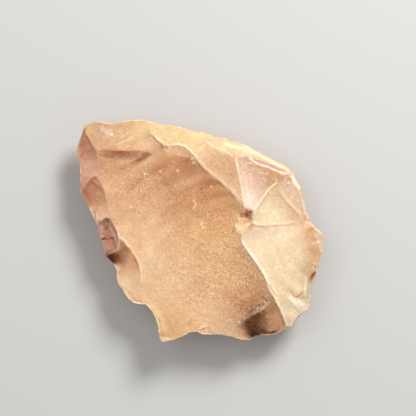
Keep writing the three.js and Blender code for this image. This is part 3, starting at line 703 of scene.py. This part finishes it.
# How much of a light or dark mark each point has.
light, dark = np.zeros((2, len(points)))
for kind, at, wide, high, *turned in ((kind, *mark) for kind in MARKS for mark in MARKS[kind]):
    near = np.flatnonzero(worked & (np.abs(plan - at).max(axis=1) < 3 * wide + 2))
    off = plan[near] - at
    gap = np.linalg.norm(off, axis=1)
    if kind == "dot":
        bump = np.exp(-((gap / wide) ** 2))
        light[near] = np.maximum(light[near], bump)
    elif kind == "pit":
        bump = -np.exp(-((gap / wide) ** 2))
        dark[near] = np.maximum(dark[near], -bump)
    else:
        around = np.arctan2(off[:, 1], off[:, 0])
        facing = np.cos(around - math.radians(*turned))
        out_of_round = 1 + 0.14 * np.cos(2 * around + wide) + 0.1 * np.sin(3 * around)
        bump = np.exp(-(((gap - wide * out_of_round) / 0.7) ** 2))
        bump *= smoothstep(-0.4, 0.3, facing) if kind == "arc" else 0.7 + 0.3 * facing
        light[near] = np.maximum(light[near], bump)
        inside = 0.6 * np.exp(-((gap / wide) ** 4)) * (kind == "ring")
        dark[near] = np.maximum(dark[near], inside)
    relief[near] += high * bump

line_weights = []
wander = np.stack([noise(points, 0.0011, seed) for seed in (51, 52)], 1)
for half, high, _, _, *line in LINES.values():
    low, top = np.min(line, axis=0) - 3 * half - 1, np.max(line, axis=0) + 3 * half + 1
    near = np.flatnonzero(worked & (plan > low).all(1) & (plan < top).all(1))
    gap, to_end, length = line_gap(plan[near] + LINE_WANDER * wander[near], line)
    taper = smoothstep(-half, min(3 * half, 0.25 * length), to_end)
    weight = taper * np.exp(-((gap / (half * (0.6 + 0.4 * taper))) ** 2))
    relief[near] += high * weight
    line_weights.append((near, weight))

# Fine light specks and dark pinholes, most in the great scar.
rng = np.random.default_rng(8)
speck = np.zeros(len(points))
likely = worked * (away + 0.01) * np.where(in_great_scar, 1, 0.03)
likely *= scar != scar_at(60, -90)
for start in rng.choice(len(points), SPECKS, replace=False, p=likely / likely.sum()):
    wide, strong = rng.uniform(*SPECK_WIDTH), rng.choice(SPECK_STRENGTHS)
    near = np.flatnonzero((np.abs(plan - plan[start]) < 3 * wide).all(1) & worked)
    gap = np.linalg.norm(plan[near] - plan[start], axis=1)
    speck[near] += strong * np.exp(-((gap / wide) ** 2))
speck = np.clip(speck, -1, 1)
relief += SPECK_HEIGHT * speck

# Small chips along the cutting edge, on either face.
rng = np.random.default_rng(5)
edge_ids = np.unique(edge_links)
for start in rng.choice(edge_ids, CHIPS, replace=False):
    wide = rng.uniform(*CHIP_WIDTH)
    face_up = rng.random() < CHIPS_ABOVE
    gap = np.linalg.norm(points - points[start], axis=1)
    near = np.flatnonzero((gap < wide) & (worked == face_up))
    bite = 0.32 * wide * 1000 * (1 - (gap[near] / wide) ** 2)
    relief[near] = np.minimum(relief[near], -np.minimum(bite, 0.45 * edge_gap[near] * 1000))

# The underside's ridges wander a little, and its scars are slightly uneven.
free = smoothstep(0, 0.004, edge_gap) * smoothstep(0, 0.0015, points[:, 2]) * ~worked
bend = np.stack([noise(points, 0.007, seed) for seed in (61, 62, 63)], 1)
bend += 0.5 * np.stack([noise(points, 0.003, seed) for seed in (64, 65, 66)], 1)
bend *= UNDER_SHIFT * free[:, None]

# The cutting edge wavers in the plan, outwards and inwards.
outward = unit(normals * (1, 1, 0))
ragged = 0.55 + 0.3 * noise(points, 0.0024, 31) + 0.25 * noise(points, 0.0011, 32)
inward = EDGE_SHIFT * (np.clip(ragged, 0, 1) ** 2 - 0.5) * (1 - smoothstep(0, 0.0016, edge_gap))

# Colours are sRGB, 0 to 255. The worked face's tints: places in each scar and the tint there,
# matched to the photo's colours, so that some of them hold painted light and shade as well.
TINTS = {
    "tip": [
        (-95, 100, (180, 142, 110)), (-60, 100, (220, 192, 142)), (-78, 99, (190, 150, 118)),
        (-70, 85, (198, 158, 122)), (-52, 84, (222, 180, 144)),
    ],
    "tip side": [(-112, 82, (200, 142, 110)), (-114, 95, (178, 112, 80)), (-108, 65, (220, 170, 144))],
    "left arc": [(-108, 35, (205, 142, 104)), (-98, 15, (248, 200, 166)), (-110, 46, (188, 128, 98))],
    "nick": [(-93, -5, (204, 144, 118))],
    # The crescent's lower tints are lighter where it turns from the lamps: painted light.
    "crescent": [(-68, -50, (255, 215, 172)), (-70, -33, (240, 178, 140)), (-76, -20, (226, 150, 110))],
    "great scar": [
        (-85, 60, (208, 158, 121)), (-97, 71, (196, 146, 114)), (-65, 35, (204, 156, 116)),
        (-80, 20, (208, 163, 131)), (-40, 60, (190, 132, 90)), (-30, 41, (194, 141, 100)),
        (-15, 66, (178, 122, 82)), (10, 45, (202, 134, 90)), (-2, 48, (224, 166, 122)),
        (1, 24, (208, 148, 98)), (22, 12, (226, 166, 120)), (-50, 10, (222, 181, 140)),
        (-72, 0, (222, 183, 144)), (0, 0, (236, 186, 133)), (-30, -50, (226, 190, 149)),
        (30, -40, (248, 196, 143)), (10, -80, (224, 183, 140)), (-30, -95, (202, 160, 114)),
        (26, -101, (208, 178, 146)), (45, -64, (228, 168, 121)), (38, -74, (206, 150, 112)),
        (35, -17, (255, 208, 156)), (25, -4, (246, 196, 142)), (-50, -29, (212, 184, 150)),
    ],
    "band": [
        (-20, 97, (212, 184, 138)), (5, 96, (208, 192, 150)), (5, 88, (206, 163, 122)),
        (-5, 97, (222, 198, 150)),
    ],
    "rim band": [(25, 85, (236, 204, 162)), (45, 80, (236, 206, 170))],
    "strip": [(60, 68, (188, 150, 136)), (82, 60, (180, 148, 128))],
    "upper facet": [
        (20, 65, (191, 150, 115)), (28, 72, (179, 134, 96)), (32, 60, (180, 134, 100)),
        (36, 40, (210, 173, 141)), (15, 76, (192, 150, 116)),
    ],
    "lens": [(-20, 80, (243, 196, 150))],
    "petal": [(50, 50, (190, 157, 133)), (47, 30, (220, 196, 174)), (75, 55, (175, 134, 98))],
    "shelf": [
        (75, 18, (222, 208, 174)), (76, 40, (200, 162, 128)), (78, 27, (202, 170, 136)),
        (65, 24, (224, 204, 170)), (90, 19, (202, 166, 128)),
    ],
    "side": [(95, 32, (198, 163, 134)), (84, 46, (206, 174, 150)), (92, 22, (202, 168, 140))],
    "butt": [
        (70, -10, (242, 215, 180)), (97, -22, (236, 208, 170)), (86, -34, (238, 217, 187)),
        (85, -60, (226, 198, 158)), (94, -72, (225, 213, 186)), (86, -88, (238, 208, 172)),
        (82, -4, (246, 226, 196)), (100, -53, (238, 212, 172)), (108, -39, (188, 146, 108)),
        (75, -31, (222, 196, 160)), (114, -20, (182, 132, 90)), (110, 0, (184, 140, 102)),
        (109, -62, (182, 150, 114)),
    ],
    # The hollow's dark tints are painted shade.
    "hollow": [
        (60, -90, (136, 88, 60)), (77, -84, (255, 196, 148)), (73, -73, (212, 150, 110)),
        (62, -76, (160, 108, 76)),
    ],
    "pit": [(47, 17, (214, 146, 104))],
    "knob": [(40, 3, (238, 202, 158))],
}
UNDERSIDE, UNDER_SHADES = (206, 158, 118), (0.86, 1.1)  # its scars' factors lie between these
LIGHT_MARK, LIGHT_SHARE = (252, 230, 200), 0.9
DARK_MARK, DARK_SHARE = (112, 66, 42), 0.6
# the pale of the crests, partly wear and partly painted highlight, and the edge's painted rim glow
WEAR_AND_HIGHLIGHT, CREST_SHARE, RIM_SHARE = (255, 244, 218), 0.3, 0.75
MOTTLE_POWER, MOTTLE_FACTOR = 0.6, 0.4


def blend_stops(where, stops):
    """Colour at each place, from stops that weigh by the inverse square of their distance."""
    at = np.array([s[:2] for s in stops], float)
    colours = np.array([linear(s[2]) for s in stops])
    gaps = ((where[:, None] - at[None]) ** 2).sum(2)
    weights = 1 / (gaps + 25)
    return weights @ colours / weights.sum(1, keepdims=True)


stops_of = {}
for stops in TINTS.values():
    for stop in stops:
        stops_of.setdefault(scar_at(*stop[:2]), []).append(stop)
# Each scar of the butt takes all of the butt's stops.
for x, y, _ in TINTS["butt"]:
    stops_of[scar_at(x, y)] = TINTS["butt"]
# A scar without a stop of its own blends all of them.
colour = blend_stops(plan, [stop for stops in TINTS.values() for stop in stops])
for number, stops in stops_of.items():
    mine = scar == number
    colour[mine] = blend_stops(plan[mine], stops)
below = ~worked
rng = np.random.default_rng(7)
shade = rng.uniform(*UNDER_SHADES, scar_count)
colour[below] = linear(UNDERSIDE) * shade[scar[below]][:, None]

# Soft stains and pale places, and patches of painted shade and painted light: where, how far along
# and across, turned by how many degrees, the colour and how much of it.
STAINS_AND_PAINTED_SHADING = {
    "tip pale": ((-96, 101), 3, 5.5, 35, (232, 204, 184), 0.4),
    "tip second pale": ((-91, 98), 3.4, 5, -15, (234, 206, 186), 0.4),
    "tip spot": ((-88, 96.5), 1.5, 1.1, 40, (252, 246, 222), 0.7),
    # Painted shade under the step and in the fold, from here to the fold's root.
    "step shade": ((-82, 76.6), 17, 3.8, 0, (178, 100, 64), 0.5),
    "step dark": ((-78, 78), 10, 1.8, 0, (158, 84, 52), 0.4),
    "step red": ((-68, 76.4), 13, 4.4, 0, (196, 112, 76), 0.4),
    "fold shade": ((-62, 68.6), 10, 3.4, 27, (178, 108, 76), 0.45),
    "fold root": ((-54, 77.4), 5, 1.8, 12, (176, 100, 64), 0.5),
    # Painted shade on the left arc's upper side, under its rim.
    "arc shade": ((-113, 34), 8, 4.5, -60, (172, 108, 76), 0.5),
    # Painted shadow in the notch and painted shade on the crescent's upper part.
    "notch dark": ((-86, -27), 10, 6.5, -35, (92, 44, 22), 0.95),
    "notch shade": ((-79, -27), 9, 7, -45, (180, 116, 80), 0.5),
    "crescent shade": ((-75, -15), 9, 5, -50, (184, 112, 76), 0.5),
    # Painted shadow in the hollow at the foot, darkest by the edge.
    "hollow dark": ((51.5, -92), 15, 9, 74, (84, 44, 20), 0.92),
    "hollow upper": ((56, -86), 10, 5, 30, (124, 74, 44), 0.7),
    "hollow foot": ((55, -104), 8, 6, -20, (54, 24, 10), 0.93),
    "hollow low right": ((60.5, -99), 8, 4.5, -12, (88, 48, 30), 0.7),
    "hollow right": ((62, -91), 6, 6, 0, (124, 80, 54), 0.45),
    "hollow low left": ((44, -92), 5, 7, -20, (116, 68, 40), 0.5),
    "butt chip dark": ((112.4, -45.6), 6.5, 2.8, 58, (176, 94, 48), 0.85),
    # Painted light on the great scar's slope beside the butt's crest.
    "butt side": ((51.5, -36), 24, 5, -56, (246, 194, 148), 0.5),
    "corner shade": ((88.6, 52.6), 4.8, 3.4, -30, (176, 130, 98), 0.6),
    "butt corner": ((48, 3.4), 4.4, 3, 0, (212, 158, 110), 0.45),
    "pink facet": ((108, 5), 6, 4, -30, (226, 178, 146), 0.6),
    "pit shade": ((48, 17), 5.4, 3, 30, (172, 104, 68), 0.55),
    "knob left": ((35.4, 11.5), 3.4, 3.6, 0, (206, 156, 112), 0.85),
    "knob body": ((39.5, 2.5), 5, 3.2, 70, (248, 226, 184), 0.6),
    "knob shade": ((33.2, 3), 5, 1.5, 80, (206, 142, 100), 0.5),
    "knob top": ((42, 9.6), 5.8, 3.2, 0, (196, 156, 116), 0.7),
    "petal foot": ((48, 27), 4, 7, 10, (240, 212, 190), 0.4),
    # Painted light on the slope beside the crest's lower end.
    "crest gleam": ((66.5, -62), 9, 4, -60, (232, 180, 140), 0.6),
    "petal pink": ((50, 52), 8, 9, 0, (216, 172, 152), 0.4),
    # Painted light that lifts the shade on the pit's steep upper wall.
    "pit roof": ((48, 21.5), 4.5, 1.7, -15, (206, 148, 110), 0.7),
    "rim pink": ((117, -4.4), 4.5, 2.2, -25, (216, 174, 150), 0.5),
    "nick left light": ((-99, 3), 5, 2.6, -70, (232, 188, 166), 0.5),
    "nick bar end": ((-97, -7.6), 2, 1.3, -20, (84, 36, 24), 0.7),
    "nick low light": ((-92, -16), 5, 4, 0, (220, 172, 144), 0.25),
    "nick low dark": ((-84.5, -12), 2, 6, 10, (160, 100, 76), 0.5),
    "lip shade": ((47, -73), 13, 6, 35, (150, 92, 58), 0.4),
    "hollow lip light": ((60, -73), 9, 3, 35, (240, 200, 166), 0.35),
    "red mark": ((-31.5, -5), 0.8, 1.4, 0, (190, 112, 82), 0.6),
}
for at, long, wide, turned, stain_and_shading, share in STAINS_AND_PAINTED_SHADING.values():
    near = np.flatnonzero(worked & (np.abs(plan - at).max(axis=1) < 1.6 * max(long, wide)))
    x, y = (plan[near] - at).T
    c, s = math.cos(math.radians(turned)), math.sin(math.radians(turned))
    gap = np.hypot((c * x + s * y) / long, (c * y - s * x) / wide)
    gap += 0.12 * noise(points[near], 0.0022, 41)
    weight = share * (1 - smoothstep(0.45, 1.25, gap))
    colour[near] += weight[:, None] * (linear(stain_and_shading) - colour[near])

uneven = 0.75 + 0.35 * noise(points, 0.0016, 42)
for (near, weight), (_, _, tone, share, *_) in zip(line_weights, LINES.values()):
    weight = share * weight * uneven[near]
    colour[near] += weight[:, None] * (linear(tone) - colour[near])

# Darker spots are warmer too, so the mottle is a power as well as a factor.
mottle = 0.09 * noise(points, 0.006, 11) + 0.05 * noise(points, 0.0017, 12)
mottle += (0.04 + 0.1 * grainy) * grain + 0.4 * speck
colour = np.clip(colour, 0, 1) ** (1 - MOTTLE_POWER * mottle)[:, None]
colour *= (1 + MOTTLE_FACTOR * mottle)[:, None]
for share, mark, tone in ((LIGHT_SHARE, light, LIGHT_MARK), (DARK_SHARE, dark, DARK_MARK)):
    colour += np.clip(share * mark, 0, 1)[:, None] * (linear(tone) - colour)

# Crests are paler, partly from wear and partly as a painted highlight, and the rim of the edge is
# paler as a painted glow of the thin flint, but for the darkest places.
crest_wear_and_highlight = (1 - smoothstep(0.00008, 0.0003, crest_gap)) * (0.6 + 0.4 * noise(points, 0.004, 13))
rim = (1 - smoothstep(0.0001, 0.0006, edge_gap)) * (0.7 + 0.4 * noise(points, 0.005, 14))
pale = np.maximum(CREST_SHARE * crest_wear_and_highlight, RIM_SHARE * rim * worked)
pale *= smoothstep(0.02, 0.2, colour[:, 1])
colour += pale[:, None] * (linear(WEAR_AND_HIGHLIGHT) - colour)

points = points + normals * (relief / 1000)[:, None] - outward * inward[:, None] + bend
points = relax(points, links, ridge_links[:0], pull=LAST_PULL)
# The stone stays in the CAD part's box and lies flat on its resting scar.
points = np.clip(points, *(np.array(corner) for corner in cad_box))
points[on_floor, 2] = 0


def build_piece(name, points, faces, colour, coarse):
    """A smooth mesh with its colours, whose alpha says how coarse the grain is."""
    mesh = bpy.data.meshes.new(name)
    mesh.from_pydata(points.tolist(), [], faces.tolist(), shade_flat=False)
    mesh.validate()
    tint = mesh.color_attributes.new("tint", "FLOAT_COLOR", "POINT")
    tint.data.foreach_set("color", np.column_stack([np.clip(colour, 0, 1), coarse]).ravel())
    piece = bpy.data.objects.new(name, mesh)
    bpy.context.scene.collection.objects.link(piece)
    return piece


ROUGHNESS, SPECULAR = 0.62, 0.14
GRAIN_SCALE, SQUIGGLE_SCALE = 2400, 760  # of the noise, in changes per metre
GRAIN_POWER, GRAIN_FACTOR = 0.28, 0.2  # how much the grain changes the colour
BUMP_STRENGTH, BUMP_DEPTH = 0.55, 0.0001


def flint():
    """Satin flint in the colours of the mesh, with fine grain and short pale squiggles."""
    material = bpy.data.materials.new("flint")
    material.use_nodes = True
    nodes, wires = material.node_tree.nodes, material.node_tree.links
    shader = nodes["Principled BSDF"]
    shader.inputs["Roughness"].default_value = ROUGHNESS
    shader.inputs["Specular IOR Level"].default_value = SPECULAR
    tint = nodes.new("ShaderNodeVertexColor")
    tint.layer_name = "tint"
    where = nodes.new("ShaderNodeTexCoord")

    def noise_of(scale, detail):
        made = nodes.new("ShaderNodeTexNoise")
        made.inputs["Scale"].default_value = scale
        made.inputs["Detail"].default_value = detail
        wires.new(where.outputs["Object"], made.inputs["Vector"])
        return made.outputs["Fac"]

    def maths(operation, a, b):
        made = nodes.new("ShaderNodeMath")
        made.operation = operation
        for socket, value in zip(made.inputs, (a, b)):
            if isinstance(value, (int, float)):
                socket.default_value = value
            else:
                wires.new(value, socket)
        return made.outputs["Value"]

    def map_range(value, *limits):
        made = nodes.new("ShaderNodeMapRange")
        for name, limit in zip(("From Min", "From Max", "To Min", "To Max"), limits):
            made.inputs[name].default_value = limit
        wires.new(value, made.inputs["Value"])
        return made.outputs["Result"]

    fine = map_range(noise_of(GRAIN_SCALE, 3), 0.3, 0.7, -1, 1)
    ridged = maths("ABSOLUTE", maths("SUBTRACT", noise_of(SQUIGGLE_SCALE, 1.5), 0.5), 0)
    squiggle = map_range(ridged, 0, 0.08, 1, -0.25)
    grain = maths("ADD", maths("MULTIPLY", fine, 0.5), maths("MULTIPLY", squiggle, 0.5))
    grain = maths("MULTIPLY", grain, tint.outputs["Alpha"])
    power = nodes.new("ShaderNodeGamma")
    wires.new(tint.outputs["Color"], power.inputs["Color"])
    less = maths("MULTIPLY", grain, GRAIN_POWER)
    wires.new(maths("SUBTRACT", 1, less), power.inputs["Gamma"])
    factor = nodes.new("ShaderNodeMixRGB")
    factor.blend_type = "MULTIPLY"
    factor.inputs["Fac"].default_value = 1
    wires.new(power.outputs["Color"], factor.inputs["Color1"])
    more = maths("MULTIPLY", grain, GRAIN_FACTOR)
    wires.new(maths("ADD", 1, more), factor.inputs["Color2"])
    wires.new(factor.outputs["Color"], shader.inputs["Base Color"])
    bump = nodes.new("ShaderNodeBump")
    bump.inputs["Strength"].default_value = BUMP_STRENGTH
    bump.inputs["Distance"].default_value = BUMP_DEPTH
    wires.new(grain, bump.inputs["Height"])
    wires.new(bump.outputs["Normal"], shader.inputs["Normal"])
    return material


# The grain is coarsest in the great scar's grainy places.
coarse = np.where(in_great_scar, 0.48 + 0.72 * grainy, 0.42)
coarse *= 1 + 0.45 * noise(points, 0.004, 71)
stone = build_piece("flint_stone", points, faces, colour, coarse)
stone.data.materials.append(flint())
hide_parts("hand_axe")
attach(stone, "root")

# Floor, light and camera. A light is given by its place and its size in metres, power and colour.
FLOOR_SIZE, FLOOR_ROUGHNESS, FLOOR_COLOUR = 4, 0.9, (0.6, 0.6, 0.6, 1)
LIGHTS = {
    "key": ((0.37, 0.56, 0.57), 0.3, 7.6, (0.97, 0.96, 0.92)),
    "fill": ((-0.45, 0.2, 0.85), 0.7, 1.8, (1, 0.94, 0.87)),
}
STUDIO_COLOUR, STUDIO_STRENGTH = (0.88, 0.88, 0.88, 1), 0.48

bpy.ops.mesh.primitive_plane_add(size=FLOOR_SIZE)
floor = bpy.context.object
floor.name = "floor"
matt = bpy.data.materials.new("pale_floor")
matt.use_nodes = True
matt_inputs = matt.node_tree.nodes["Principled BSDF"].inputs
matt_inputs["Base Color"].default_value = FLOOR_COLOUR
matt_inputs["Roughness"].default_value = FLOOR_ROUGHNESS
floor.data.materials.append(matt)


def soft_light(name, place, size, power, colour):
    """A square lamp that faces the stone."""
    lamp = bpy.data.lights.new(name, "AREA")
    lamp.size, lamp.energy, lamp.color = size, power, colour
    holder = bpy.data.objects.new(name, lamp)
    holder.location = place
    holder.rotation_euler = (-Vector(place)).to_track_quat("-Z", "Y").to_euler()
    bpy.context.scene.collection.objects.link(holder)


for name, settings in LIGHTS.items():
    soft_light(name, *settings)

world = bpy.data.worlds.new("studio")
world.use_nodes = True
background = world.node_tree.nodes["Background"].inputs
background["Color"].default_value = STUDIO_COLOUR
background["Strength"].default_value = STUDIO_STRENGTH
bpy.context.scene.world = world
bpy.context.scene.view_settings.view_transform = "Standard"

# The photo's frame: PHOTO_WIDTH units wide, with its middle at PHOTO_CENTRE in the drawing.
PHOTO_WIDTH = 416
PHOTO_CENTRE = (8, 23)
LENS = 200
lens_data = bpy.data.cameras.new("camera")
lens_data.lens = LENS
camera = bpy.data.objects.new("camera", lens_data)
reach = PHOTO_WIDTH * UNIT * LENS / lens_data.sensor_width
x, y = ((at - centre) * UNIT for at, centre in zip(PHOTO_CENTRE, PLAN_CENTRE))
camera.location = (x, y, EDGE_LEVEL + reach)
lens_data.clip_start, lens_data.clip_end = 0.01, 10
bpy.context.scene.collection.objects.link(camera)
bpy.context.scene.camera = camera

bpy.context.view_layer.update()
